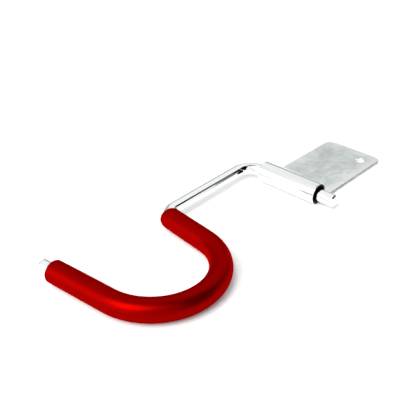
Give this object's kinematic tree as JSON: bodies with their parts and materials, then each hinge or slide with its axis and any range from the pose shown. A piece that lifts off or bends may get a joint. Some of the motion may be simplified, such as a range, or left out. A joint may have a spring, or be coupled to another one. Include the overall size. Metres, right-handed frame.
{
  "type": "garage utility hook",
  "caption": "Swivel garage hook: a steel wall plate rolled into a barrel at one edge, a bent round bar that turns in the barrel, and a soft red sleeve over the wide U that holds the load.",
  "frame": {"origin": "midway between the two screw holes, on the wall plate's back face", "axes": "+X along the barrel towards the bar's stub, +Y from the barrel across the plate, +Z out of the wall. On a wall -X points up, so that the U opens upwards."},
  "size_m": [0.088, 0.2451, 0.014],
  "materials": {
    "zinc_sheet": "bright zinc plated sheet, satin and slightly blotchy",
    "zinc_bar": "bright plated bar, polished",
    "red_sleeve": "satin soft vinyl"
  },
  "bodies": {
    "plate": {"mounting_plate": "zinc_sheet"},
    "hook": {"hook_rod": "zinc_bar", "grip_sleeve": "red_sleeve"}
  },
  "joints": [
    {"name": "hook_swing", "type": "hinge", "parent": "plate", "child": "hook", "pos_m": [0, -0.03975, 0.0066], "axis": [-1, 0, 0], "range_deg": [0, 180]}
  ]
}
